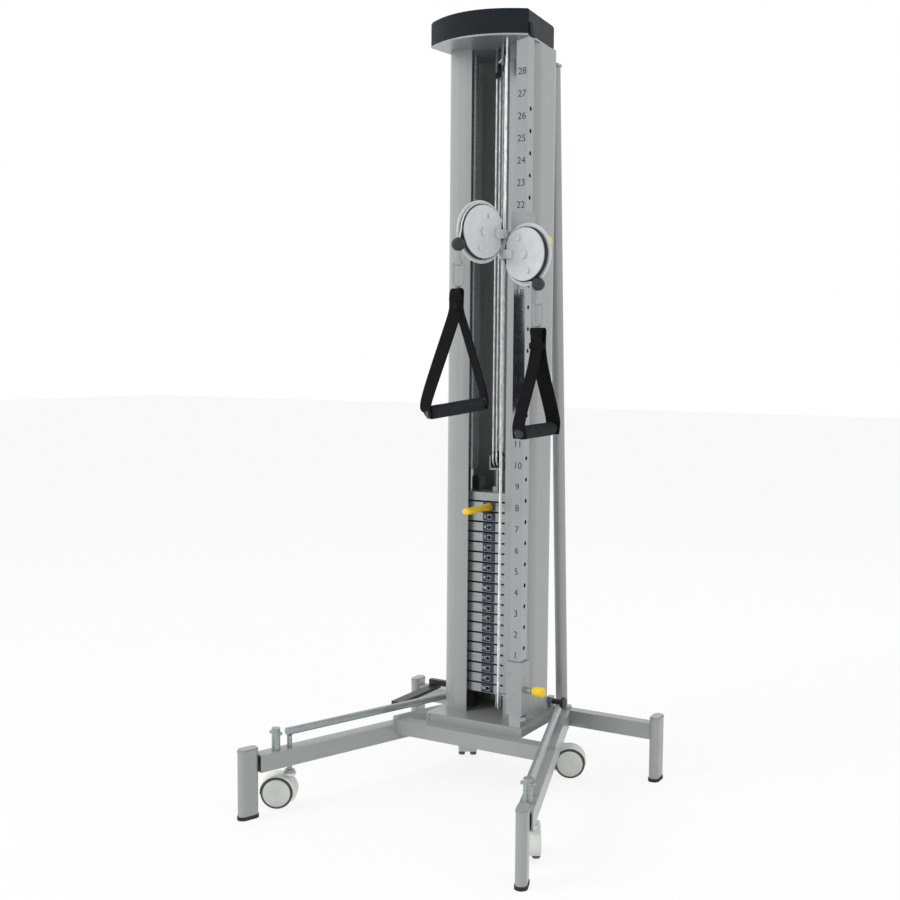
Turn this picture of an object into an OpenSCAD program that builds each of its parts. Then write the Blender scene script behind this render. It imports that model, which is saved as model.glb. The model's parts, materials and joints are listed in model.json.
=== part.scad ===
// Rope pulley trainer: a weight stack in a twin-profile column, with two swivelling pulley heads
// on a height rail. Millimetres, +Z up, the feet stand on z = 0, +Y is the back.

/* [Floor frame] */
// Distance between the left and right feet
foot_span = 699.6; // [660:1:760]
// Distance between the front and rear feet
foot_depth = 734.6; // [720:1:780]
// Height of a foot tube with its plug
foot_h = 156; // [156:1:170]
// Width of a leg tube
leg_w = 35; // [30:1:38]
// Height of a leg tube
leg_h = 40; // [34:1:44]
// Top of the leg tubes
leg_top = 144; // [140:1:150]

/* [Column] */
// Height of the top of the column profiles
column_top = 1776; // [1740:1:1820]
// Half width of the column
column_x = 121; // [119:0.5:124]
// Half width of the open channel
channel_x = 51; // [46:0.5:52]
// Wall of the column profiles
wall = 3; // [2:0.5:4]
// Diameter of the guide rods
rod_d = 20; // [16:1:22]
// Distance of a guide rod from the middle
rod_x = 74.6; // [72:0.1:77]

/* [Weight stack] */
// Number of plates that rest on the stack
plate_count = 18; // [10:1:18]
// Height of one plate
plate_h = 20.5; // [16:0.5:22]
// Distance from one plate to the next
plate_pitch = 25; // [25:0.5:27]
// Width of a plate
plate_w = 190; // [184:1:196]
// Depth of a plate
plate_d = 84; // [80:1:88]
// Lifting height of the weight

/* [Height rail] */
// Width of the square rail
rail_w = 30; // [28:0.5:31]
// Distance between adjustment holes
hole_pitch = 50; // [40:1:60]
// Length of an adjustment sleeve
sleeve_h = 127; // [110:1:130]
// Outer width of an adjustment sleeve
sleeve_w = 41; // [40:0.5:42]

/* [Pulleys] */
// Diameter of the rope
rope_d = 4.4; // [3:0.2:5]
// Rope radius on a head sheave
head_r = 63.5; // [60:0.5:66]
// Rope radius on a top sheave
top_r = 16; // [15:0.5:17]
// Radius of the large cheek of a head
cheek_r = 71; // [66:1:72]

/* [Handles] */
// Diameter of the stop ball
ball_d = 30; // [26:1:32]
// Diameter of a foam grip
grip_d = 31; // [28:1:34]
// Length of a foam grip
grip_len = 126; // [110:1:130]
// Width of the webbing
webbing_w = 38; // [30:1:40]

/* [Casters] */
// Diameter of a caster wheel
wheel_d = 75; // [70:1:75]
// Trail of a caster
trail = 28; // [26:1:30]

/* [Hidden] */
$fn = 48;
front_y = -foot_depth / 2;
rear_y = foot_depth / 2;
foot_x = foot_span / 2;
leg_slope = 0.347;
leg_a = atan(leg_slope);
box_z = leg_top + 10;
box_h = 22;
deck_z = box_z + box_h;
box_y0 = 52;
box_y1 = 272;
stack_y = 167;
column_front = 110;
column_rear = 242;
corner_r = 39;
cap_h = 56;
top_t = 4;
plate_z0 = deck_z + 51;
stack_top = plate_z0 + (plate_count + 1) * plate_pitch;
gap = 0.3;
head_plate_h = 20;
rail_x = 112;
rail_y = 69;
rail_top = column_top + 24;
lower_z = 207;
carriage_z = 1257;
hole_z0 = 266;
hole_count = 28;
up_line = [78.6, 42.5];
low_line = [73.2, 41.5];
block_x = 4.8;
block_r = 16.5;
t4_z = column_top + 32;
t1_z = column_top - 8;
t5_z = column_top - 49;
left_z = 1334;
right_z = 1284;
left_a = -109.3;
right_a = -14.2;
return_line = [63.8, 65];
bottom_z = 228;
lift_z = 181;
stem_y = [-261, 262];
shaft_y = 262;
shaft_z = 190;
crank_x = 140;
clear = 0.4;
seam = 0.8;
bush_clear = 0.06;
grip_drop = 386;

function leg_x(y) = foot_x - leg_slope * (y - front_y);
pedal_x = leg_x(shaft_y) + 115.6;
function unit(v) = v / norm(v);
function ring(p, t, n, r, k) = [for (i = [0:k - 1]) p + r * (cos(360 * i / k) * n + sin(360 * i / k) * cross(t, n))];
function tangent(p, i) = unit(p[min(i + 1, len(p) - 1)] - p[max(i - 1, 0)]);
function arc(c, u, r, a0, a1, steps) =
    [for (i = [0:steps]) let (a = a0 + (a1 - a0) * i / steps)
        [c[0] + r * cos(a) * u[0], c[1] + r * cos(a) * u[1], c[2] + r * sin(a)]];

// Swept tube along a route that lies in one upright plane with the normal n
module rope_run(p, n, d = rope_d, k = 8) {
    m = len(p);
    pts = [for (i = [0:m - 1]) each ring(p[i], tangent(p, i), n, d / 2, k)];
    polyhedron(pts, concat([[for (i = [0:k - 1]) i]], [[for (i = [k - 1:-1:0]) (m - 1) * k + i]],
        [for (j = [0:m - 2]) for (i = [0:k - 1])
            each [[j * k + i, (j + 1) * k + i, j * k + (i + 1) % k],
                  [j * k + (i + 1) % k, (j + 1) * k + i, (j + 1) * k + (i + 1) % k]]]), convexity = 6);
}

// Sheave with a rope groove, its axis along local Y
module sheave(r, w, bore, flange = 3) rotate([90, 0, 0])
    rotate_extrude($fn = 64)
        difference() {
            translate([bore / 2, -w / 2]) square([r + flange - bore / 2, w]);
            translate([r, 0]) circle(d = rope_d + 1.2, $fn = 24);
            translate([r, -rope_d / 2 - 0.6]) square([flange + 1, rope_d + 1.2]);
        }

module square_tube(w, d, h, t) difference() {
    translate([-w / 2, -d / 2, 0]) cube([w, d, h]);
    translate([-w / 2 + t, -d / 2 + t, -1]) cube([w - 2 * t, d - 2 * t, h + 2]);
}

module obround(w, d, h) {
    for (s = [-1, 1]) translate([0, s * (w - d) / 2, 0]) cylinder(d = d, h = h);
    translate([-d / 2, -(w - d) / 2, 0]) cube([d, w - d, h]);
}

module at_feet() for (s = [-1, 1]) {
    translate([s * foot_x, front_y, 0]) rotate(s * leg_a) children();
    translate([s * foot_x, rear_y, 0]) children();
}

module foot_tubes() color("silver") at_feet() difference() {
    translate([0, 0, 8]) obround(50, 25, foot_h - 8);
    translate([0, 0, 7]) obround(44, 19, foot_h - 6);
}

module rubber_feet() color([0.12, 0.12, 0.12]) at_feet() {
    obround(53, 28, 8);
    translate([0, 0, foot_h]) obround(52, 27, 4);
    translate([0, 0, foot_h + 4]) scale([0.97, 0.97, 0.97]) obround(49, 24, 3.5);
}

// Leg from the front foot to the rear beam, with the packing bar that carries the base box
module leg(s) color("silver") {
    len = (rear_y - 15 - front_y) / cos(leg_a);
    difference() {
        translate([s * foot_x, front_y, leg_top - leg_h]) rotate(s * leg_a)
            translate([0, 25, leg_h / 2]) rotate([-90, 0, 0])
                difference() {
                    translate([-leg_w / 2, -leg_h / 2, 0]) cube([leg_w, leg_h, len + 10]);
                    translate([3 - leg_w / 2, 3 - leg_h / 2, -1]) cube([leg_w - 6, leg_h - 6, len + 14]);
                }
        translate([-foot_x, rear_y - 15, 0]) cube([2 * foot_x, 60, foot_h + 40]);
        for (y = stem_y) translate([s * leg_x(y), y, leg_top - leg_h - 1]) cylinder(d = 12.4, h = leg_h + 2);
    }
    difference() {
        translate([s * foot_x, front_y, leg_top]) rotate(s * leg_a)
            translate([-leg_w / 2, (box_y0 - front_y) / cos(leg_a) - 12, 0]) cube([leg_w, 245, box_z - leg_top]);
        translate([s * leg_x(stem_y[1]), stem_y[1], 0]) cylinder(d = 12.4, h = deck_z);
    }
}
module leg_left() leg(-1);
module leg_right() leg(1);

module cross_beams() color("silver") {
    translate([12.5 - foot_x, rear_y - 15, leg_top - leg_h]) difference() {
        cube([foot_span - 25, 30, leg_h]);
        translate([-1, 3, 3]) cube([foot_span, 24, leg_h - 6]);
    }
    inner = leg_w / 2 / cos(leg_a);
    difference() {
        translate([0, 0, box_z - 35]) linear_extrude(35)
            polygon([for (e = [[-1, 17], [1, 17], [1, box_y0], [-1, box_y0]])
                [e[0] * (leg_x(e[1]) - inner), e[1]]]);
        translate([-240, 20, box_z - 32]) cube([480, box_y0 - 23, 29]);
    }
}

module base_box() color("silver") difference() {
    translate([-132, box_y0, box_z]) cube([264, box_y1 - box_y0, box_h]);
    translate([-129, box_y0 + 3, box_z - 1]) cube([258, box_y1 - box_y0 - 6, box_h - 2]);
    for (z = [6, 16]) translate([-122, box_y0 - 1, box_z + z]) rotate([-90, 0, 0]) cylinder(d = 5, h = 6);
    for (s = [-1, 1]) translate([s * leg_x(stem_y[1]), stem_y[1], 0]) cylinder(r = 17, h = 400);
}

// Outline of one open profile: a bowed front, a round outer corner at the front and the rear
module profile_2d(inset) {
    r = corner_r - inset;
    c = column_x - corner_r;
    polygon(concat(
        [[channel_x - 1, column_front + inset], [channel_x + 14, column_front - 5 + inset]],
        [for (a = [-90:10:0]) [c + r * cos(a), column_front + corner_r - 8 + r * sin(a)]],
        [for (a = [0:10:90]) [c + r * cos(a), column_rear - corner_r + r * sin(a)]],
        [[channel_x - 1, column_rear - inset]]));
}
module column(s) color("silver") mirror([s < 0 ? 1 : 0, 0, 0]) translate([0, 0, deck_z])
    linear_extrude(column_top - deck_z) difference() {
        intersection() {
            profile_2d(0);
            translate([channel_x, 0]) square([200, 400]);
        }
        profile_2d(wall);
    }
module column_left() column(-1);
module column_right() column(1);

module back_panel() color([0.4, 0.42, 0.42]) difference() {
    translate([-85, column_rear + clear, deck_z]) cube([170, 2, column_top - deck_z]);
    for (s = [-1, 1]) for (z = [260, 700, 1200, 1700]) translate([s * 70, column_rear - 1, z])
        rotate([-90, 0, 0]) cylinder(d = 5, h = 6);
}

// Outline of the cap: a wide front arc, sharp front corners and round rear corners
module cap_2d(inset) offset(delta = -inset) polygon(concat(
    [for (i = [-10:10]) [12.85 * i, 4 + 47 * pow(abs(i) / 10, 2)]],
    [for (a = [0:10:90]) [62 + 50 * cos(a), 205 + 50 * sin(a)]],
    [for (a = [90:10:180]) [-62 + 50 * cos(a), 205 + 50 * sin(a)]]));

module top_cap() color([0.12, 0.14, 0.18]) translate([0, 0, column_top + top_t]) difference() {
    union() {
        linear_extrude(cap_h - 5) cap_2d(0);
        translate([0, 0, cap_h - 5]) linear_extrude(3) cap_2d(1.5);
        translate([0, 0, cap_h - 2]) linear_extrude(2) cap_2d(4);
    }
    translate([0, 0, -1]) linear_extrude(cap_h - 4) cap_2d(5);
    translate([rail_x - rail_w / 2 - clear, rail_y - rail_w / 2 - clear, -1])
        cube([rail_w + 2 * clear, rail_w + 2 * clear, rail_top - column_top]);
}

// Plates of a pulley bracket, each side of a sheave whose plane has the direction u
module cheeks(c, u, z0, z1) translate([c[0], c[1], 0]) rotate(atan2(u[1], u[0])) {
    for (s = [-1, 1]) translate([-7, s * 5 - 1, z0]) cube([14, 2, z1 - z0]);
    translate([0, 7, c[2]]) rotate([90, 0, 0]) cylinder(d = 7.8, h = 14);
}

u4 = unit(up_line - [block_x, stack_y + block_r]);
u1 = unit([2 * block_x, -2 * block_r]);
u5 = unit(return_line - [-block_x, stack_y - block_r]);
ub = unit(low_line - return_line);
c4b = [up_line[0] - top_r * u4[0], up_line[1] - top_r * u4[1], t4_z];
c4a = [block_x + top_r * u4[0], stack_y + block_r + top_r * u4[1], t4_z];
c1 = [0, stack_y, t1_z];
r1 = norm([block_x, block_r]);
c5a = [-block_x + top_r * u5[0], stack_y - block_r + top_r * u5[1], t5_z];
c5b = [return_line[0] - top_r * u5[0], return_line[1] - top_r * u5[1], t5_z];
cb = [(low_line[0] + return_line[0]) / 2, (low_line[1] + return_line[1]) / 2, bottom_z];
rb = norm(low_line - return_line) / 2;

module top_plate() color([0.75, 0.76, 0.76]) {
    difference() {
        translate([0, 0, column_top]) linear_extrude(top_t) cap_2d(0);
        translate([rail_x - rail_w / 2 - clear, rail_y - rail_w / 2 - clear, column_top - 1])
            cube([rail_w + 2 * clear, rail_w + 2 * clear, top_t + 2]);
        translate([c1[0], c1[1], column_top - 1]) rotate(atan2(u1[1], u1[0]))
            translate([-21, -4, 0]) cube([42, 8, top_t + 2]);
        for (p = [up_line, [block_x, stack_y + block_r]]) translate([p[0], p[1], column_top - 1])
            cylinder(d = rope_d + 4, h = top_t + 2);
        for (s = [-1, 1]) translate([s * rod_x, stack_y, column_top - 1])
            cylinder(r = rod_d / 2 + bush_clear, h = top_t + 2);
    }
    difference() {
        union() {
            for (c = [c4a, c4b]) cheeks(c, u4, column_top + top_t, t4_z + 6);
            for (c = [c5a, c5b]) cheeks(c, u5, t5_z - 6, column_top);
        }
        translate(c1) rotate(atan2(u1[1], u1[0])) translate([0, 4.6, 0]) rotate([90, 0, 0])
            cylinder(r = r1 + 4, h = 9.2);
    }
    cheeks(c1, u1, t1_z - 6, column_top);
}
module top_sheave_at(c, u, r) color([0.15, 0.15, 0.16]) translate(c)
    rotate(atan2(u[1], u[0])) sheave(r, 7, 8);
module top_sheave_1() top_sheave_at(c1, u1, r1);
module top_sheave_2() top_sheave_at(c4a, u4, top_r);
module top_sheave_3() top_sheave_at(c4b, u4, top_r);
module top_sheave_4() top_sheave_at(c5a, u5, top_r);
module top_sheave_5() top_sheave_at(c5b, u5, top_r);
module bottom_sheave() top_sheave_at(cb, ub, rb);

function side(u) = [-u[1], u[0], 0];
module rope_fixed() color([0.7, 0.72, 0.74]) {
    rope_run(concat(arc(c4b, u4, top_r, 0, 90, 5), arc(c4a, u4, top_r, 90, 180, 5),
        [[block_x, stack_y + block_r, t5_z]]), side(u4));
    rope_run(concat([[block_x, stack_y - block_r, t5_z]], arc(c1, u1, r1, 0, 180, 8),
        [[-block_x, stack_y + block_r, t5_z]]), side(u1));
    rope_run(concat(arc(c5a, u5, top_r, 180, 90, 5), arc(c5b, u5, top_r, 90, 0, 5),
        arc(cb, ub, rb, 180, 360, 8)), side(u5));
}

module guide_rods() color([0.5, 0.52, 0.52]) for (s = [-1, 1])
    translate([s * rod_x, stack_y, deck_z]) cylinder(d = rod_d, h = column_top + top_t - deck_z);

module stack_buffers() color([0.1, 0.1, 0.1]) for (s = [-1, 1]) translate([s * rod_x, stack_y, deck_z])
    difference() {
        cylinder(d = 42, h = plate_z0 - deck_z);
        translate([0, 0, -1]) cylinder(d = rod_d + 1, h = 90);
    }

module height_rail() color([0.85, 0.86, 0.88]) difference() {
    translate([rail_x, rail_y, deck_z]) square_tube(rail_w, rail_w, rail_top - deck_z, 2.5);
    for (k = [0:hole_count - 1]) translate([rail_x, rail_y, hole_z0 + k * hole_pitch])
        rotate([0, 90, 0]) cylinder(d = 10, h = rail_w);
}

module rear_braces() color("silver") for (s = [-1, 1]) {
    top = [s * 90, column_rear + 24, column_top - 24];
    foot = [s * 90, rear_y - 3, leg_top + 6];
    v = top - foot;
    translate(foot) rotate([atan2(-v[1], v[2]), 0, 0]) cylinder(d = 30, h = norm(v));
    translate([s * 90 - 20, rear_y - 15, leg_top]) cube([40, 30, 6.5]);
    translate([s * 90 - 18, column_rear + 2.4 + clear, column_top - 26]) cube([36, 26, 6]);
}

// One plate: the rods and the stem pass through it, two spacers keep the next one apart
module plate(z) translate([0, stack_y, z]) difference() {
    union() {
        translate([-plate_w / 2, -plate_d / 2, 0]) cube([plate_w, plate_d, plate_h]);
        for (s = [-1, 1]) translate([s * 36, 0, plate_h - 0.01]) cylinder(d = 20, h = plate_pitch - plate_h);
    }
    for (s = [-1, 1]) translate([s * rod_x, 0, -1]) cylinder(d = rod_d + 3, h = plate_pitch + 2);
    translate([0, 0, -1]) cylinder(d = 25, h = plate_pitch + 2);
    translate([0, -plate_d / 2 - 1, plate_h / 2]) rotate([-90, 0, 0]) cylinder(d = 10, h = plate_d / 2);
}
module weight_plates() color([0.6, 0.61, 0.62])
    for (k = [0:plate_count - 1]) plate(plate_z0 + k * plate_pitch);
module first_plate() color([0.6, 0.61, 0.62]) plate(plate_z0 + plate_count * plate_pitch + gap);

module head_plate() color([0.6, 0.61, 0.62]) translate([0, stack_y, stack_top + gap]) difference() {
    translate([-plate_w / 2, -plate_d / 2, 0]) cube([plate_w, plate_d, head_plate_h]);
    for (s = [-1, 1]) translate([s * rod_x, 0, -1]) cylinder(d = rod_d + 3, h = 30);
    translate([0, 0, -1]) cylinder(d = 22.02, h = 30);
}

module guide_bushes() color([0.85, 0.85, 0.86]) for (s = [-1, 1])
    translate([s * rod_x, stack_y, stack_top + gap + head_plate_h]) difference() {
        union() {
            cylinder(d = 35, h = 49);
            translate([0, 0, 49]) cylinder(d = 31, h = 4);
            translate([s < 0 ? 0 : -31, -14, 0]) cube([31, 28, 36]);
        }
        translate([0, 0, -1]) cylinder(r = rod_d / 2 + bush_clear, h = 60);
    }

module selector_stem() color([0.7, 0.7, 0.7]) translate([0, stack_y, 0]) difference() {
    union() {
        translate([0, 0, plate_z0 + 5]) cylinder(d = 22, h = stack_top + gap + head_plate_h - plate_z0 - 5);
        translate([0, 0, stack_top + gap + head_plate_h]) cylinder(d = 28, h = 12, $fn = 6);
        translate([0, 0, stack_top + gap + head_plate_h]) cylinder(d = 12, h = 53);
    }
    for (k = [0:plate_count]) translate([0, -20, plate_z0 + k * plate_pitch + plate_h / 2 + gap])
        rotate([-90, 0, 0]) cylinder(d = 9, h = 40);
}

module block_strap() color([0.35, 0.36, 0.38]) translate([0, stack_y, stack_top + gap + head_plate_h + 53])
    {
        translate([-18, -10, 0]) cube([36, 20, 4]);
        for (s = [-1, 1]) translate([s * 16.5 - 1.5, -10, 0]) cube([3, 20, 34]);
        translate([-22, 0, 26]) rotate([0, 90, 0]) cylinder(d = 7.8, h = 44);
    }
module block_sheave(s) color([0.15, 0.15, 0.16])
    translate([s * block_x, stack_y, stack_top + gap + head_plate_h + 79])
        rotate(90) sheave(block_r, 8, 8);
module block_sheave_a() block_sheave(-1);
module block_sheave_b() block_sheave(1);
axle_z = stack_top + gap + head_plate_h + 79;

module block_lines() color([0.7, 0.72, 0.74]) {
    for (s = [-1, 1]) {
        for (q = [-1, 1]) translate([s * block_x, stack_y + q * block_r, axle_z])
            cylinder(d = rope_d, h = t5_z - axle_z - seam, $fn = 16);
        rope_run(arc([s * block_x, stack_y, axle_z], [0, 1], block_r, 180, 360, 8), [1, 0, 0]);
    }
}

module selector_pin() color("gold") translate([0, stack_y, plate_z0 + plate_count * plate_pitch + plate_h / 2 + gap])
    rotate([90, 0, 0]) {
        translate([0, 0, -9]) cylinder(d = 8.6, h = plate_d / 2 + 14);
        translate([0, 0, plate_d / 2 + 1]) cylinder(d1 = 20, d2 = 13, h = 59);
        translate([0, 0, plate_d / 2 + 60]) cylinder(d = 13, h = 4);
        translate([0, 0, plate_d / 2 + 62]) scale([1.3, 1, 1]) rotate_extrude()
            polygon([[0, 0], [5, 0], for (a = [0:15:90]) [5 + 3.3 * sin(a), 10 - 10 * cos(a)],
                [8.3, 48], for (a = [0:15:90]) [8.3 * cos(a), 50 + 8 * sin(a)]]);
    }

// Sleeve that slides on the rail, with a liner at both ends and a boss for its plunger
module sleeve(z) translate([rail_x, rail_y, z]) {
    color([0.88, 0.88, 0.9]) difference() {
        union() {
            translate([0, 0, 3.5]) square_tube(sleeve_w, sleeve_w, sleeve_h - 7, (sleeve_w - rail_w) / 2 - 1.5);
            translate([sleeve_w / 2 - 0.5, 0, 59]) rotate([0, 90, 0]) cylinder(d = 15, h = 17);
        }
        translate([sleeve_w / 2 - 6, 0, 59]) rotate([0, 90, 0]) cylinder(d = 9, h = 40);
        for (k = [36, 98]) translate([-10, -sleeve_w / 2 - 1, k]) rotate([-90, 0, 0]) cylinder(d = 5, h = 2);
    }
    color([0.1, 0.1, 0.1]) for (k = [0, sleeve_h - 3.5]) translate([0, 0, k])
        square_tube(sleeve_w + 1, sleeve_w + 1, 3.5, (sleeve_w + 1 - rail_w) / 2 - clear);
}
module carriage_sleeve() sleeve(carriage_z);
module lower_sleeve() {
    sleeve(lower_z);
    color([0.5, 0.5, 0.5]) {
        cheeks(cb, ub, bottom_z - 8, bottom_z + 24);
        translate([cb[0] - 6, cb[1] - 5, bottom_z + 20]) cube([rail_x - sleeve_w / 2 - cb[0] + 6, 10, 4]);
    }
}
module plunger(z) color("gold") translate([rail_x, rail_y, z + 59]) rotate([0, 90, 0]) {
    translate([0, 0, rail_w / 2 + gap]) cylinder(d = 8.8, h = 28);
    translate([0, 0, 41.5]) cylinder(d = 20, h = 3);
    translate([0, 0, 44]) cylinder(d1 = 20, d2 = 24, h = 8);
    translate([0, 0, 52]) cylinder(d = 24, h = 14);
    translate([0, 0, 66]) cylinder(d1 = 24, d2 = 17, h = 4);
}
module upper_plunger() plunger(carriage_z);
module lower_plunger() plunger(lower_z);

// Curved hinge plates behind the two rope lines, welded to the sleeve
module hinge_arms() color([0.75, 0.76, 0.76])
    for (a = [[low_line, left_z - 3], [up_line, right_z + 5]]) difference() {
        translate([a[0][0] - 21, a[0][1] + 5, a[1]])
            cube([rail_x - sleeve_w / 2 - a[0][0] + 21 - gap, 13, 8]);
        translate([a[0][0], a[0][1], a[1] - 1]) cylinder(r = 14, h = 10);
        translate([rail_x - sleeve_w / 2 - gap, 0, a[1] - 1]) cube([40, 100, 10]);
    }

// Head: a small cheek with the hinge tab, a large cheek, two bolts and the axle.
// Local X points away from the rope line, local Y to the small cheek.
module head(s, tab_z, ball_a) color([0.78, 0.79, 0.8]) {
    mirror([0, s < 0 ? 1 : 0, 0]) {
        difference() {
            union() {
                translate([head_r, 7, 0]) rotate([90, 0, 0]) cylinder(r = 60, h = 3);
                translate([11, 4, tab_z]) cube([20, 9.5, 20]);
            }
            translate([-60, -20, -100]) cube([70.9, 60, 200]);
            translate([head_r + 79 * cos(ball_a), 0, 79 * sin(ball_a)]) sphere(r = 17.5, $fn = 32);
        }
        difference() {
            translate([head_r, -4, 0]) rotate([90, 0, 0]) cylinder(r = cheek_r, h = 3);
            translate([-60, -20, -100]) cube([72, 60, 200]);
            translate([head_r + 79 * cos(ball_a), 0, 79 * sin(ball_a)]) sphere(r = 17.5, $fn = 32);
        }
        translate([0, 0, tab_z]) rotate(90) rotate_extrude(angle = 180) translate([9, 0]) square([4.5, 20]);
        translate([0, 9, tab_z]) cube([12, 4.5, 20]);
        translate([head_r, 11, 0]) rotate([90, 0, 0]) cylinder(d = 19, h = 4);
        translate([head_r, 8, 0]) rotate([90, 0, 0]) cylinder(d = 11.9, h = 16);
        for (p = [[-16, 37], [12, -37]]) translate([head_r + p[0], 11, p[1]]) rotate([90, 0, 0])
            cylinder(d = 12, h = 4);
    }
}
module head_rope(under, ball_a) color([0.7, 0.72, 0.74]) {
    c = [head_r, 0, 0];
    end = [head_r + 79 * cos(ball_a), 0, 79 * sin(ball_a)];
    rope_run(under
        ? concat(arc(c, [1, 0], head_r, 180, 280, 8), [end + [-14.6, 0, 4.6]])
        : concat(arc(c, [1, 0], head_r, 180, 0, 12), [end + [-3.2, 0, 15.1]]), [0, 1, 0]);
}
module head_left() translate([low_line[0], low_line[1], left_z]) rotate(left_a) {
    head(1, -12, -24.1);
    head_rope(false, -24.1);
}
module head_right() translate([up_line[0], up_line[1], right_z]) rotate(right_a) {
    head(-1, -8, -60.6);
    head_rope(true, -60.6);
}
module head_sheave(l, z, a) color([0.12, 0.12, 0.13]) translate([l[0], l[1], z]) rotate(a)
    translate([head_r, 0, 0]) rotate([90, 0, 0]) rotate_extrude($fn = 96) difference() {
        translate([6, -3.4]) square([head_r - 7, 6.8]);
        translate([head_r, 0]) circle(d = rope_d + 1.8, $fn = 24);
        for (q = [-1, 1]) translate([16, q * 3.4 - 1]) square([32, 2]);
    }
module sheave_left() head_sheave(low_line, left_z, left_a);
module sheave_right() head_sheave(up_line, right_z, right_a);

module rope_upper() color([0.7, 0.72, 0.74]) translate([up_line[0], up_line[1], right_z + seam])
    cylinder(d = rope_d, h = t4_z - right_z - 2 * seam, $fn = 16);
module rope_lower() color([0.7, 0.72, 0.74]) translate([low_line[0], low_line[1], bottom_z + seam])
    cylinder(d = rope_d, h = left_z - bottom_z - 2 * seam, $fn = 16);

// Where a stop ball hangs on its head, in the model's own place
function ball_at(l, z, a, b) = [l[0] + (head_r + 79 * cos(b)) * cos(a), l[1] + (head_r + 79 * cos(b)) * sin(a),
    z + 79 * sin(b)];
ball_l = ball_at(low_line, left_z, left_a, -24.1);
ball_r = ball_at(up_line, right_z, right_a, -60.6);

module clip(b, a) translate(b) rotate(a) {
    color([0.1, 0.1, 0.1]) sphere(d = ball_d, $fn = 32);
    color([0.8, 0.8, 0.8]) {
        translate([0, 0, -34]) cylinder(d = 10, h = 22);
        translate([0, 0, -44]) cylinder(d = 19, h = 10);
        for (q = [-1, 1]) translate([q * 11, 0, -82]) cylinder(d = 6, h = 40);
        translate([0, 0, -82]) rotate([90, 0, 0]) rotate(180) rotate_extrude(angle = 180) translate([11, 0]) circle(d = 6);
        translate([-11, 0, -44]) rotate([0, 90, 0]) cylinder(d = 6, h = 22);
    }
}
module left_clip() clip(ball_l, 30);
module right_clip() clip(ball_r, 30);

// Webbing loop that hangs from the clip and holds a foam grip at its foot
module strap(b, a, drop) translate(b) rotate(a) {
    color([0.12, 0.12, 0.13]) {
        translate([-9, -webbing_w / 2 + 6, -96 - gap - 3]) cube([18, webbing_w - 12, 3]);
        translate([-9, -webbing_w / 2 + 6, -140]) cube([3, webbing_w - 12, 40]);
        translate([6, -webbing_w / 2 + 6, -140]) cube([3, webbing_w - 12, 40]);
        for (q = [-1, 1]) hull() {
            translate([q * 7.5 - 1.5, -webbing_w / 2, -141]) cube([3, webbing_w, 2]);
            translate([q * (grip_len / 2 + 3) - 1.5, -webbing_w / 2, -drop + 14]) cube([3, webbing_w, 2]);
        }
        for (q = [-1, 1]) translate([q * (grip_len / 2 + 3) - 1.5, 0, -drop]) rotate([0, 90, 0])
            cylinder(d = webbing_w, h = 3);
        translate([-grip_len / 2 - 2, 0, -drop]) rotate([0, 90, 0]) cylinder(d = 20, h = grip_len + 4);
    }
    color([0.18, 0.19, 0.2]) translate([-grip_len / 2, 0, -drop]) rotate([0, 90, 0]) difference() {
        cylinder(d = grip_d, h = grip_len);
        translate([0, 0, -1]) cylinder(d = 20.4, h = grip_len + 2);
    }
}
module left_handle() strap(ball_l, 30, grip_drop - 16);
module right_handle() strap(ball_r, 83, grip_drop - 56);

module pull_rods() color([0.8, 0.8, 0.8]) for (s = [-1, 1])
    translate([s * leg_x(-268), -268, lift_z]) rotate(s * leg_a) rotate([-90, 0, 0])
        cylinder(d = 18, h = 522);

module lift_posts() color([0.8, 0.8, 0.8]) {
    for (s = [-1, 1]) translate([s * leg_x(-296), -296, leg_top]) {
        cylinder(d = 20, h = 52);
        translate([0, 0, 40]) rotate([0, 90, 0]) translate([0, 0, -16]) cylinder(d = 8, h = 32);
    }
    for (s = [-1, 1]) difference() {
        translate([s * 106 - 7, shaft_y - 9, deck_z]) cube([14, 18, 26]);
        translate([s * 106 - 8, shaft_y, shaft_z]) rotate([0, 90, 0]) cylinder(d = 14.1, h = 16);
    }
}
module pedal_shaft() {
    color([0.7, 0.7, 0.7]) translate([-crank_x - 6, shaft_y, shaft_z]) rotate([0, 90, 0])
        cylinder(d = 14, h = 2 * crank_x + 12);
    color([0.7, 0.7, 0.7]) for (s = [-1, 1]) translate([s * (crank_x + 2) - 4, shaft_y, shaft_z])
        rotate([0, 90, 0]) cylinder(d = 26, h = 8);
    color([0.1, 0.1, 0.1]) {
        translate([-pedal_x + 11, shaft_y - 7, shaft_z - 7]) cube([pedal_x - crank_x - 13, 14, 14]);
        translate([-pedal_x, shaft_y - 190, shaft_z - 16]) cube([28, 197, 8]);
        translate([-pedal_x, shaft_y - 7, shaft_z - 16]) cube([28, 14, 23]);
    }
}

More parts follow.
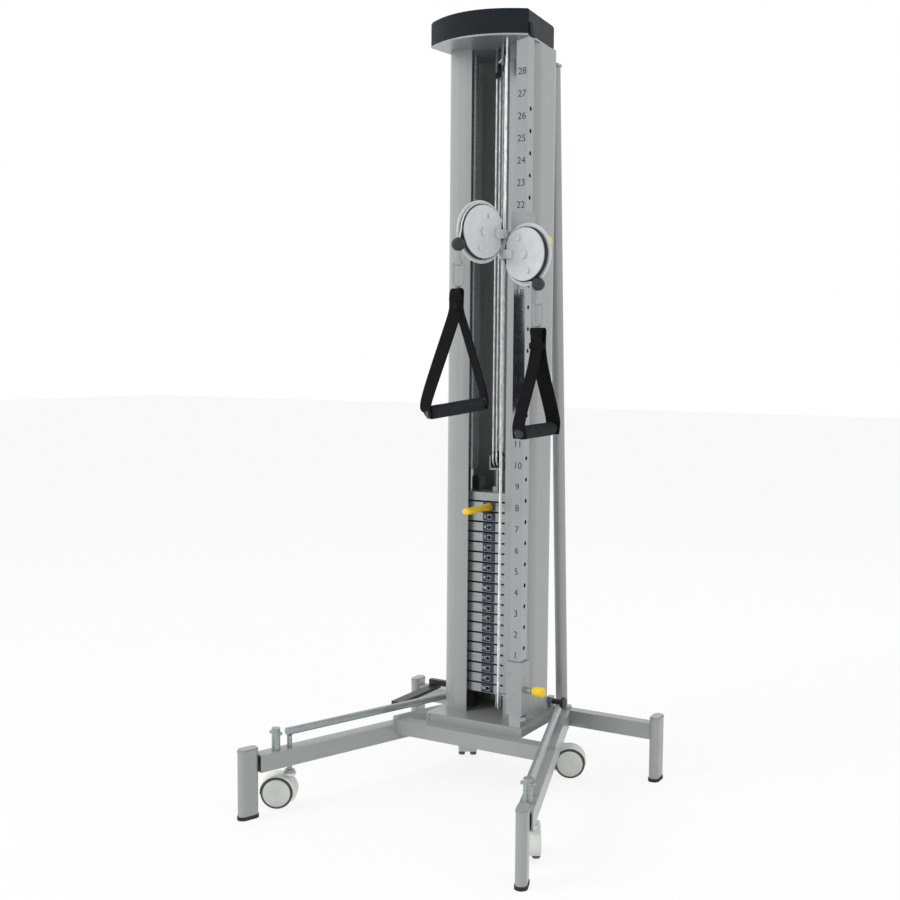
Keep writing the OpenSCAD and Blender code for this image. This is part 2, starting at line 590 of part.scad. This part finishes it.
module caster_stems() color([0.7, 0.7, 0.7]) for (s = [-1, 1]) for (y = stem_y)
    translate([s * leg_x(y), y, 88]) {
        cylinder(d = 12, h = lift_z - 9 - gap - 88);
        translate([0, 0, -4]) cylinder(d = 24, h = 6);
    }
caster_z = wheel_d / 2 + 2;
module caster_fork(s, y, a) color([0.78, 0.79, 0.77]) translate([s * leg_x(y), y, 0]) rotate(a) {
    translate([0, 0, 77.5]) cylinder(d = 30, h = 6.2);
    translate([0, 0, 0]) intersection() {
        translate([trail, 5.5, caster_z]) rotate([90, 0, 0]) cylinder(r = 41, h = 11);
        translate([-14, -6, caster_z - 6]) cube([60, 12, 46]);
    }
    translate([trail, 24, caster_z]) rotate([90, 0, 0]) cylinder(d = 7.9, h = 48);
}
module caster_wheel(s, y, a) color([0.35, 0.36, 0.36]) translate([s * leg_x(y), y, 0]) rotate(a)
    for (q = [-1, 1]) translate([trail, q * 15 + 8.5, caster_z]) rotate([90, 0, 0]) rotate_extrude($fn = 64)
        polygon([[4, 0], [wheel_d / 2 - 3, 0], [wheel_d / 2, 3], [wheel_d / 2, 14], [wheel_d / 2 - 3, 17],
            [30, 17], [28, 14], [10, 14], [9, 17], [4, 17]]);
module fork_left_front() caster_fork(-1, stem_y[0], 210);
module fork_right_front() caster_fork(1, stem_y[0], 120);
module fork_left_rear() caster_fork(-1, stem_y[1], 120);
module fork_right_rear() caster_fork(1, stem_y[1], 25);
module wheel_left_front() caster_wheel(-1, stem_y[0], 210);
module wheel_right_front() caster_wheel(1, stem_y[0], 120);
module wheel_left_rear() caster_wheel(-1, stem_y[1], 120);
module wheel_right_rear() caster_wheel(1, stem_y[1], 25);

foot_tubes();
rubber_feet();
leg_left();
leg_right();
cross_beams();
base_box();
column_left();
column_right();
back_panel();
top_plate();
top_cap();
guide_rods();
height_rail();
rear_braces();
stack_buffers();
rope_fixed();
weight_plates();
lift_posts();
lower_sleeve();
head_plate();
guide_bushes();
selector_stem();
block_strap();
first_plate();
block_lines();
block_sheave_a();
block_sheave_b();
selector_pin();
carriage_sleeve();
hinge_arms();
rope_upper();
rope_lower();
upper_plunger();
lower_plunger();
head_left();
sheave_left();
head_right();
sheave_right();
left_handle();
right_handle();
left_clip();
right_clip();
bottom_sheave();
top_sheave_1();
top_sheave_2();
top_sheave_3();
top_sheave_4();
top_sheave_5();
pedal_shaft();
pull_rods();
caster_stems();
fork_left_front();
fork_right_front();
fork_left_rear();
fork_right_rear();
wheel_left_front();
wheel_right_front();
wheel_left_rear();
wheel_right_rear();
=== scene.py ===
"""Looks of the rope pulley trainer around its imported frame. Metres, +Z up, the feet stand on z = 0."""
import json
import math

import bmesh
import bpy
from mathutils import Matrix, Vector


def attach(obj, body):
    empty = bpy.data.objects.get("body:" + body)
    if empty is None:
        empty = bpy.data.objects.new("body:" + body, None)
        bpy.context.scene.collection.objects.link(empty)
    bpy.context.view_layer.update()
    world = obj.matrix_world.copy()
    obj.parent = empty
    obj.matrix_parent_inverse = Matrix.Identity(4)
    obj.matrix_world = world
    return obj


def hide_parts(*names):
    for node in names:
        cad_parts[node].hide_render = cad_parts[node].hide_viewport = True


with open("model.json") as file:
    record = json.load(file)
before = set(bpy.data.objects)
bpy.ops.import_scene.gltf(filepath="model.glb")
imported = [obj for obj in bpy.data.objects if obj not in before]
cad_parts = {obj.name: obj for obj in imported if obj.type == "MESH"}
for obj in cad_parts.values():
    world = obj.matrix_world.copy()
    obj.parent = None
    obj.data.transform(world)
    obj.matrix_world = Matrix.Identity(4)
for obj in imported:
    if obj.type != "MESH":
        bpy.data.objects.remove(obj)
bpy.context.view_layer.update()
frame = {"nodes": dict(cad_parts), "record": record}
NODES = frame["nodes"]
JOINTS = {joint["name"]: joint for joint in frame["record"]["behaviour"]["joints"]}

# Places on the solids, in metres
RAIL_X = 0.112
RAIL_FRONT = 0.054
NUMBER_Z = 0.3486
NUMBER_COUNT = 28
NUMBER_SIZE = 0.022
PITCH = 0.05
PLATE_FRONT = 0.125
PLATE_Z = 0.227
PLATE_PITCH = 0.025
PLATE_COUNT = 18
LARGEST_NUMBER = 20
PLATE_NUMBER_SIZE = 0.0105
PLATE_NUMBER_X = -0.0112
PLATE_NUMBER_UP = 0.0105
PLUG_Z = 0.1
CASTERS = ("left_front", "right_front", "left_rear", "right_rear")
HUB_OUT = 0.0242
HUB_PROFILE = ((0.0035, 0), (0.009, 0.0012), (0.031, -0.0004), (0.033, -0.0012), (0.0335, -0.004),
               (0.0035, -0.004))
HOOD_R = 0.041
HOOD_THICK = 0.0024
HOOD_SWELL = 0.0055
HOOD_HALF = 0.0235
HOOD_START = -28
HOOD_SPAN = 213
HOOD_STEPS = 28
COVER_LOW = 1.7765
COVER_HIGH = 1.8055

# Sizes of the handles
WEBBING_W = 0.038
WEBBING_THICK = 0.0026
WEBBING_PROFILE = ((-0.5, 0), (-0.46, 0.5), (-0.4, 0.42), (-0.34, 0.5), (0.34, 0.5), (0.4, 0.42),
                   (0.46, 0.5), (0.5, 0), (0.46, -0.5), (0.34, -0.5), (-0.34, -0.5), (-0.46, -0.5))
STRAP_STEPS = ((0.098, 0.001), (0.103, 0.006), (0.125, 0.0045), (0.15, 0.006), (0.2, 0.022))
LOOP_HALF = 0.066
KEEPER_DROP = 0.138
KEEPER_HALF = Vector((0.009, 0.0185, 0.0075))
GRIP_R = 0.0155
GRIP_WAIST = GRIP_R * 0.985
GRIP_PROFILE = ((0.011, -0.0625), (0.0135, -0.063), (0.0152, -0.061), (GRIP_R, -0.057),
                (GRIP_WAIST, -0.03), (GRIP_R, 0), (GRIP_WAIST, 0.03), (GRIP_R, 0.057),
                (0.0152, 0.061), (0.0135, 0.063), (0.011, 0.0625))
GRIP_END = 0.0665
GRIP_END_PROFILE = ((0.006, 0), (0.0125, 0.0005), (0.0125, 0.0045), (0.006, 0.006))
BALL_R = 0.0152
BALL_HOLE = (0.0035, 0.0151)

# Parts of a plate's label around the pin hole: left, right, foot and head
LABEL_STRIPS = ((-0.017, -0.0055, 0.001, 0.0205), (0.0055, 0.017, 0.001, 0.0205),
                (-0.0054, 0.0054, 0.001, 0.0045), (-0.0054, 0.0054, 0.0165, 0.0205))

# Nodes whose look differs from that of their slot
LOOKS = {"lower_sleeve": "satin", "carriage_sleeve": "satin"}

# How much of the floor is plain white for the rays that see it; the rest keeps the object's shadow
FLOOR_WHITE = 0.86

# Place, power, size and aim
LAMPS = (((-2.2, -3.2, 3.2), 110, 2.4, (0, 0, 1)),
         ((3.4, -1.2, 2.2), 24, 2.0, (0, 0, 0.9)),
         ((0.5, 3.2, 3.0), 30, 2.5, (0, 0, 1)))

UP = Vector((0, 0, 1))
DOWN = Vector((0, 0, -1))
FACE_FRONT = Matrix.Rotation(math.pi / 2, 4, "X")


# Camera

def make_camera():
    yaw, pitch, roll = math.radians(30.31635), math.radians(4.795405), math.radians(0.444563)
    forward = Vector((-math.sin(yaw) * math.cos(pitch), math.cos(yaw) * math.cos(pitch), -math.sin(pitch)))
    level_right = Vector((math.cos(yaw), math.sin(yaw), 0))
    level_up = level_right.cross(forward)
    right = level_right * math.cos(roll) + level_up * math.sin(roll)
    up = level_up * math.cos(roll) - level_right * math.sin(roll)
    data = bpy.data.cameras.new("camera")
    data.lens = 49.82
    data.sensor_width = 36
    data.shift_y = 0.0084
    camera = bpy.data.objects.new("camera", data)
    bpy.context.collection.objects.link(camera)
    turn = Matrix((right, up, -forward)).transposed()
    camera.matrix_world = Matrix.Translation((1.4353, -2.5209, 1.0595)) @ turn.to_4x4()
    bpy.context.scene.camera = camera


# Materials

def new_material(name, color, rough, metal=0.0):
    mat = bpy.data.materials.new(name)
    mat.use_nodes = True
    bsdf = mat.node_tree.nodes["Principled BSDF"]
    bsdf.inputs["Base Color"].default_value = (*color, 1)
    bsdf.inputs["Roughness"].default_value = rough
    bsdf.inputs["Metallic"].default_value = metal
    return mat, mat.node_tree, bsdf


def add_noise(tree, scale, detail=4, stretch=(1, 1, 1)):
    coord = tree.nodes.new("ShaderNodeTexCoord")
    mapping = tree.nodes.new("ShaderNodeMapping")
    mapping.inputs["Scale"].default_value = stretch
    noise = tree.nodes.new("ShaderNodeTexNoise")
    noise.inputs["Scale"].default_value = scale
    noise.inputs["Detail"].default_value = detail
    tree.links.new(coord.outputs["Object"], mapping.inputs["Vector"])
    tree.links.new(mapping.outputs["Vector"], noise.inputs["Vector"])
    return noise


def vary(tree, bsdf, color, noise, amount, rough, rough_span):
    """Let the noise shift the colour by a share and the roughness by a span."""
    ramp = tree.nodes.new("ShaderNodeValToRGB")
    ramp.color_ramp.elements[0].position = 0.3
    ramp.color_ramp.elements[1].position = 0.7
    ramp.color_ramp.elements[0].color = (*[c * (1 - amount) for c in color], 1)
    ramp.color_ramp.elements[1].color = (*[min(1, c * (1 + amount)) for c in color], 1)
    tree.links.new(noise.outputs["Fac"], ramp.inputs["Fac"])
    tree.links.new(ramp.outputs["Color"], bsdf.inputs["Base Color"])
    span = tree.nodes.new("ShaderNodeMapRange")
    span.inputs["To Min"].default_value = rough - rough_span
    span.inputs["To Max"].default_value = rough + rough_span
    tree.links.new(noise.outputs["Fac"], span.inputs["Value"])
    tree.links.new(span.outputs["Result"], bsdf.inputs["Roughness"])


def bump(tree, bsdf, height, distance, strength=0.4):
    node = tree.nodes.new("ShaderNodeBump")
    node.inputs["Distance"].default_value = distance
    node.inputs["Strength"].default_value = strength
    tree.links.new(height, node.inputs["Height"])
    tree.links.new(node.outputs["Normal"], bsdf.inputs["Normal"])


def surface(name, color, rough, metal=0.0, scale=30, amount=0.06, span=0.05, grain=None,
            stretch=(1, 1, 1), coat=0.0, spec=0.5):
    """A finish with slow changes of colour and gloss; grain is the scale and depth of a fine bump."""
    mat, tree, bsdf = new_material(name, color, rough, metal)
    vary(tree, bsdf, color, add_noise(tree, scale, 4, stretch), amount, rough, span)
    bsdf.inputs["Coat Weight"].default_value = coat
    bsdf.inputs["Specular IOR Level"].default_value = spec
    if grain:
        bump(tree, bsdf, add_noise(tree, grain[0], 2, stretch).outputs["Fac"], grain[1])
    return mat


def woven(name, color, rough, pitch):
    """A finish with slanted ridges at a pitch in metres."""
    mat, tree, bsdf = new_material(name, color, rough)
    vary(tree, bsdf, color, add_noise(tree, 60), 0.25, rough, 0.06)
    coord = tree.nodes.new("ShaderNodeTexCoord")
    wave = tree.nodes.new("ShaderNodeTexWave")
    wave.bands_direction = "DIAGONAL"
    wave.inputs["Scale"].default_value = 1 / pitch
    wave.inputs["Distortion"].default_value = 1.5
    tree.links.new(coord.outputs["Object"], wave.inputs["Vector"])
    bump(tree, bsdf, wave.outputs["Fac"], 0.0006, 0.8)
    bsdf.inputs["Specular IOR Level"].default_value = 0.15
    return mat


def make_materials():
    return {
        "silver_paint": surface("silver_paint", (0.335, 0.355, 0.352), 0.35, 0.3, 18, 0.02, 0.02,
                                (900, 0.00003), coat=0.12),
        "cap_plastic": surface("cap_plastic", (0.006, 0.009, 0.012), 0.5, 0, 25, 0.1, 0.06, (1500, 0.0001),
                               spec=0.22),
        "panel_paint": surface("panel_paint", (0.52, 0.54, 0.52), 0.5, 0.1, 12, 0.08, 0.06, (900, 0.00008)),
        "zinc": surface("zinc", (0.34, 0.37, 0.38), 0.32, 0.6, 40, 0.12, 0.09, (500, 0.00005), (1, 1, 6)),
        "chrome": surface("chrome", (0.36, 0.375, 0.39), 0.12, 0.95, 20, 0.03, 0.04),
        "rope": woven("rope", (0.72, 0.74, 0.76), 0.5, 0.02),
        "alu": surface("alu", (0.62, 0.63, 0.65), 0.36, 0.4, 60, 0.05, 0.07, (700, 0.00004)),
        "satin": surface("satin", (0.33, 0.345, 0.35), 0.36, 0.35, 60, 0.04, 0.05, (700, 0.00004)),
        "black_plastic": surface("black_plastic", (0.018, 0.019, 0.021), 0.42, 0, 30, 0.2, 0.08,
                                 (900, 0.0001)),
        "grey_plastic": surface("grey_plastic", (0.70, 0.72, 0.68), 0.42, 0, 20, 0.05, 0.05, (900, 0.00008)),
        "tyre": surface("tyre", (0.075, 0.083, 0.075), 0.62, 0, 40, 0.15, 0.08, (700, 0.0002)),
        "hub": surface("hub", (0.66, 0.68, 0.64), 0.45, 0, 30, 0.06, 0.05, (900, 0.00008)),
        "rubber": surface("rubber", (0.014, 0.014, 0.015), 0.7, 0, 40, 0.2, 0.08, (600, 0.0002)),
        "yellow_plastic": surface("yellow_plastic", (0.84, 0.56, 0.003), 0.33, 0, 25, 0.05, 0.05,
                                  (900, 0.0001), coat=0.2),
        "webbing": woven("webbing", (0.006, 0.006, 0.007), 0.8, 0.004),
        "foam": surface("foam", (0.02, 0.023, 0.026), 0.88, 0, 120, 0.25, 0.05, (1800, 0.0005), spec=0.2),
        "label": surface("label", (0.02, 0.024, 0.045), 0.35, 0, 40, 0.08, 0.05),
        "ink_light": surface("ink_light", (0.68, 0.69, 0.70), 0.5, 0, 60, 0.04, 0.04),
        "ink_dark": surface("ink_dark", (0.02, 0.02, 0.025), 0.5, 0, 60, 0.1, 0.04),
    }


def dress_nodes(mats):
    for part in frame["record"]["subparts"]:
        obj = NODES[part["node"]]
        mat = mats[LOOKS.get(part["node"], part["material_slot"])]
        if not obj.material_slots:
            obj.data.materials.append(mat)
        for place in obj.material_slots:
            place.material = mat
    # The plugs on top of the foot tubes are painted, the caps under them are rubber
    feet = NODES["rubber_feet"]
    feet.data.materials.append(mats["silver_paint"])
    for face in feet.data.polygons:
        if (feet.matrix_world @ face.center).z > PLUG_Z:
            face.material_index = len(feet.data.materials) - 1


# Meshes

def link(name, mesh, mat, body):
    obj = bpy.data.objects.new(name, mesh)
    bpy.context.collection.objects.link(obj)
    obj.data.materials.append(mat)
    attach(obj, body)
    return obj


def from_bmesh(bm, name):
    mesh = bpy.data.meshes.new(name)
    bm.to_mesh(mesh)
    bm.free()
    return mesh


def number_mesh(value, size, place):
    """Raised figures that face the front."""
    curve = bpy.data.curves.new("number", "FONT")
    curve.body = str(value)
    curve.size = size
    curve.extrude = 0.00015
    curve.align_x = "CENTER"
    curve.align_y = "CENTER"
    obj = bpy.data.objects.new("number", curve)
    bpy.context.collection.objects.link(obj)
    obj.matrix_world = Matrix.Translation(place) @ FACE_FRONT
    bpy.context.view_layer.update()
    deps = bpy.context.evaluated_depsgraph_get()
    mesh = bpy.data.meshes.new_from_object(obj.evaluated_get(deps))
    mesh.transform(obj.matrix_world)
    bpy.data.objects.remove(obj)
    mesh.materials.clear()
    return mesh


def join(meshes, name):
    bm = bmesh.new()
    for mesh in meshes:
        bm.from_mesh(mesh)
        bpy.data.meshes.remove(mesh)
    return from_bmesh(bm, name)


def rounded_box(name, low, high, radius, segments=3):
    bm = bmesh.new()
    bmesh.ops.create_cube(bm, size=1)
    low, high = Vector(low), Vector(high)
    for v in bm.verts:
        v.co = Vector([(low[i] + high[i]) / 2 + v.co[i] * (high[i] - low[i]) for i in range(3)])
    bmesh.ops.bevel(bm, geom=bm.edges[:], offset=radius, segments=segments, profile=0.5, affect="EDGES")
    for f in bm.faces:
        f.smooth = True
    return from_bmesh(bm, name)


def skin(name, rings, smooth_sides, smooth_ends):
    """A closed mesh over rings of points, with sides of four corners and an end on either side."""
    bm = bmesh.new()
    corners = [[bm.verts.new(point) for point in ring] for ring in rings]
    size = len(rings[0])
    for a, b in zip(corners, corners[1:]):
        for j in range(size):
            bm.faces.new((a[j], a[(j + 1) % size], b[(j + 1) % size], b[j]))
    bm.faces.new(corners[0][::-1])
    bm.faces.new(corners[-1])
    bmesh.ops.recalc_face_normals(bm, faces=bm.faces[:])
    for f in bm.faces:
        f.smooth = smooth_sides if len(f.verts) == 4 else smooth_ends
    return from_bmesh(bm, name)


def smooth_path(points, steps=8):
    """A rounded way through the points."""
    out = []
    last = len(points) - 1
    for i in range(last):
        p0 = points[max(i - 1, 0)]
        p1, p2 = points[i], points[i + 1]
        p3 = points[min(i + 2, last)]
        for k in range(steps):
            t = k / steps
            out.append(0.5 * (2 * p1 + (p2 - p0) * t + (2 * p0 - 5 * p1 + 4 * p2 - p3) * t * t
                              + (3 * p1 - p0 - 3 * p2 + p3) * t * t * t))
    out.append(points[-1])
    return out


def ribbon(name, path, across, mat, body):
    """Webbing along a path, wide along across: rounded edges and a row of stitches along both sides."""
    rings = []
    last = len(path) - 1
    for i, point in enumerate(path):
        along = (path[min(i + 1, last)] - path[max(i - 1, 0)]).normalized()
        side = across[i] - along * across[i].dot(along)
        side.normalize()
        normal = along.cross(side)
        rings.append([point + side * (u * WEBBING_W) + normal * (v * WEBBING_THICK)
                      for u, v in WEBBING_PROFILE])
    return link(name, skin(name, rings, True, True), mat, body)


def lathe(name, profile, origin, axis, mat, body, turns=40):
    """A turned piece: profile holds radii and heights along the axis."""
    base = UP.rotation_difference(axis).to_matrix()
    rings = []
    for r, h in profile:
        angles = [math.tau * k / turns for k in range(turns)]
        rings.append([Vector(origin) + base @ Vector((r * math.cos(a), r * math.sin(a), h)) for a in angles])
    return link(name, skin(name, rings, True, False), mat, body)


# Pieces

def joint_place(name):
    return Vector(JOINTS[name]["pos_m"])


def joint_axis(name):
    return Vector(JOINTS[name]["axis"])


def make_rail_numbers(mats):
    marks = [number_mesh(k + 1, NUMBER_SIZE, (RAIL_X, RAIL_FRONT - 0.0001, NUMBER_Z + k * PITCH))
             for k in range(NUMBER_COUNT)]
    link("rail_numbers", join(marks, "rail_numbers"), mats["ink_dark"], "root")


def make_plate_labels(mats):
    """Labels and numbers of the plates; the ones on the first plate move with the weight."""
    strips = []
    digits = []
    for k in range(PLATE_COUNT + 1):
        z = PLATE_Z + k * PLATE_PITCH
        for left, right, foot, head in LABEL_STRIPS:
            strips.append(rounded_box("strip", (left, PLATE_FRONT - 0.0006, z + foot),
                                      (right, PLATE_FRONT + 0.0002, z + head), 0.0003, 1))
        digits.append(number_mesh(LARGEST_NUMBER - k, PLATE_NUMBER_SIZE,
                                  (PLATE_NUMBER_X, PLATE_FRONT - 0.0008, z + PLATE_NUMBER_UP)))
    first = len(strips) - len(LABEL_STRIPS)
    for name, pieces, look, body, slot in (
            ("stack_labels", strips[:first], "label", "root", "black_plastic"),
            ("stack_numbers", digits[:-1], "ink_light", "root", "grey_plastic"),
            ("first_label", strips[first:], "label", "weight", "black_plastic"),
            ("first_number", digits[-1:], "ink_light", "weight", "grey_plastic")):
        link(name, join(pieces, name), mats[look], body)


def strap_points(ball, along, drop, lean):
    """One side of a webbing loop, from under the clip to below the grip."""
    foot = ball + DOWN * drop
    points = [ball + DOWN * depth + along * out for depth, out in STRAP_STEPS]
    ends = [ball + DOWN * (drop - 0.03) + along * (LOOP_HALF + 0.001),
            foot + along * (LOOP_HALF + 0.003), foot + DOWN * 0.013 + along * LOOP_HALF]
    return points + [lean @ p for p in ends]


def strap_turns(count, across, twist):
    """The wide way of a strap at each point: it twists below the clip and back towards the grip."""
    turns = []
    for i in range(count):
        share = i / (count - 1)
        ease = 1 if share < 0.6 else math.cos((share - 0.6) / 0.4 * math.pi / 2) ** 2
        turns.append(Matrix.Rotation(twist * ease * min(1, share * 4), 3, "Z") @ across)
    return turns


def make_handle(side, ball, angle, drop, tilt, twists, mats):
    """Webbing loop and foam grip below a stop ball; the straps twist by the given turns."""
    body = "handle_" + side
    along = Vector((math.cos(angle), math.sin(angle), 0))
    across = Vector((-math.sin(angle), math.cos(angle), 0))
    foot = ball + DOWN * drop
    lean = Matrix.Translation(foot) @ Matrix.Rotation(-tilt, 4, across) @ Matrix.Translation(-foot)
    axis = (lean.to_3x3() @ along).normalized()
    pieces = []
    for s, name, twist in ((-1, "a", twists[0]), (1, "b", twists[1])):
        path = smooth_path(strap_points(ball, along * s, drop, lean))
        turns = strap_turns(len(path), across, twist)
        pieces.append(ribbon(f"{side}_webbing_{name}", path, turns, mats["webbing"], body))
    keeper = rounded_box("keeper", -KEEPER_HALF, KEEPER_HALF, 0.003)
    keeper.transform(Matrix.Translation(ball + DOWN * KEEPER_DROP) @ Matrix.Rotation(angle, 4, "Z"))
    pieces.append(link(f"{side}_keeper", keeper, mats["webbing"], body))
    grip = lathe(f"{side}_foam_grip", GRIP_PROFILE, foot, axis, mats["foam"], body)
    pieces.append(grip)
    for s, name in ((-1, "a"), (1, "b")):
        pieces.append(lathe(f"{side}_grip_end_{name}", GRIP_END_PROFILE, foot + axis * (s * GRIP_END),
                            axis * s, mats["black_plastic"], body))
    for piece in pieces:
        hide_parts(f"{side}_handle")


def make_stop_ball(side, ball, mats):
    angles = [math.radians(15 + 10 * k) for k in range(16)]
    hole, half = BALL_HOLE
    profile = [(hole, half)] + [(BALL_R * math.sin(a), BALL_R * math.cos(a)) for a in angles]
    profile.append((hole, -half))
    lathe(f"{side}_stop_ball", profile, ball, UP, mats["black_plastic"], "handle_" + side)


def make_rail_cover(mats):
    """The cap's corner in front of the top of the rail."""
    front = rounded_box("front", (0.0945, 0.0505, COVER_LOW), (0.1305, 0.0535, COVER_HIGH), 0.0006, 1)
    side = rounded_box("side", (0.1276, 0.0505, COVER_LOW), (0.1305, 0.088, COVER_HIGH), 0.0006, 1)
    link("rail_cover", join([front, side], "rail_cover"), mats["cap_plastic"], "root")


def make_hub_faces(mats):
    for name in CASTERS:
        centre, axle = joint_place(f"roller_{name}_spin"), joint_axis(f"roller_{name}_spin")
        for s, side in ((-1, "a"), (1, "b")):
            lathe(f"hub_{name}_{side}", HUB_PROFILE, centre + axle * (s * HUB_OUT), axle * s, mats["hub"],
                  f"roller_{name}")


def make_hoods(mats):
    """Light hoods over the top and the stem side of the twin wheels, thicker towards the stem."""
    near = HOOD_R - HOOD_THICK
    for name in CASTERS:
        centre, axle = joint_place(f"roller_{name}_spin"), joint_axis(f"roller_{name}_spin")
        stem = joint_place(f"swivel_{name}_turn")
        toward = Vector((stem.x - centre.x, stem.y - centre.y, 0)).normalized()
        rings = []
        for i in range(HOOD_STEPS + 1):
            angle = math.radians(HOOD_START + HOOD_SPAN * i / HOOD_STEPS)
            ray = toward * math.cos(angle) + UP * math.sin(angle)
            swell = HOOD_R + HOOD_SWELL * max(0, math.cos(angle)) ** 2
            fade = min(1, (i + 1.5) / 4, (HOOD_STEPS - i + 1.5) / 5)
            far = near + (swell - near) * fade
            rings.append([centre + ray * r + axle * w for r, w in (
                (near, -HOOD_HALF), (far - 0.0012, -HOOD_HALF), (far, -HOOD_HALF + 0.003),
                (far, HOOD_HALF - 0.003), (far - 0.0012, HOOD_HALF), (near, HOOD_HALF))])
        mesh = skin("hood_" + name, rings, False, False)
        link("hood_" + name, mesh, mats["grey_plastic"], "swivel_" + name)


# Floor, light

def seen_rays(tree, share):
    """A factor for rays that see the background: straight, in a mirror or through glass."""
    path = tree.nodes.new("ShaderNodeLightPath")
    total = path.outputs["Is Camera Ray"]
    for name in ("Is Glossy Ray", "Is Transmission Ray"):
        either = tree.nodes.new("ShaderNodeMath")
        either.operation = "MAXIMUM"
        tree.links.new(total, either.inputs[0])
        tree.links.new(path.outputs[name], either.inputs[1])
        total = either.outputs[0]
    part = tree.nodes.new("ShaderNodeMath")
    part.operation = "MULTIPLY"
    part.inputs[1].default_value = share
    tree.links.new(total, part.inputs[0])
    return part.outputs[0]


def show_background(tree, lit, seen, share, output):
    """Mix the lit shader with the one that rays to the background see."""
    mix = tree.nodes.new("ShaderNodeMixShader")
    tree.links.new(seen_rays(tree, share), mix.inputs["Fac"])
    tree.links.new(lit.outputs[0], mix.inputs[1])
    tree.links.new(seen.outputs[0], mix.inputs[2])
    tree.links.new(mix.outputs[0], tree.nodes[output].inputs["Surface"])


def make_stage():
    bpy.ops.mesh.primitive_plane_add(size=40)
    floor = bpy.context.object
    floor.name = "floor"
    mat, tree, bsdf = new_material("floor", (0.86, 0.86, 0.86), 0.9)
    white = tree.nodes.new("ShaderNodeEmission")
    white.inputs["Strength"].default_value = 1
    show_background(tree, bsdf, white, FLOOR_WHITE, "Material Output")
    floor.data.materials.append(mat)


def make_light():
    world = bpy.data.worlds.new("world")
    bpy.context.scene.world = world
    world.use_nodes = True
    tree = world.node_tree
    plain = tree.nodes["Background"]
    plain.inputs["Color"].default_value = (0.97, 0.97, 0.96, 1)
    plain.inputs["Strength"].default_value = 0.68
    white = tree.nodes.new("ShaderNodeBackground")
    white.inputs["Color"].default_value = (1, 1, 1, 1)
    show_background(tree, plain, white, 1, "World Output")
    for place, power, size, aim in LAMPS:
        data = bpy.data.lights.new("lamp", "AREA")
        data.energy = power
        data.size = size
        lamp = bpy.data.objects.new("lamp", data)
        lamp.visible_glossy = False
        bpy.context.collection.objects.link(lamp)
        turn = (Vector(aim) - Vector(place)).to_track_quat("-Z", "Y").to_matrix().to_4x4()
        lamp.matrix_world = Matrix.Translation(place) @ turn


make_camera()
bpy.context.scene.view_settings.view_transform = "Standard"
materials = make_materials()
dress_nodes(materials)
make_rail_numbers(materials)
make_plate_labels(materials)
ball_left = joint_place("left_handle_swing")
ball_right = joint_place("right_handle_swing")
make_handle("left", ball_left, math.radians(48), 0.366, math.radians(9), (0.6, 0.2), materials)
make_handle("right", ball_right, math.radians(83), 0.330, math.radians(2), (-0.2, 0.1), materials)
make_stop_ball("left", ball_left, materials)
make_stop_ball("right", ball_right, materials)
make_rail_cover(materials)
make_hub_faces(materials)
make_hoods(materials)
make_stage()
make_light()
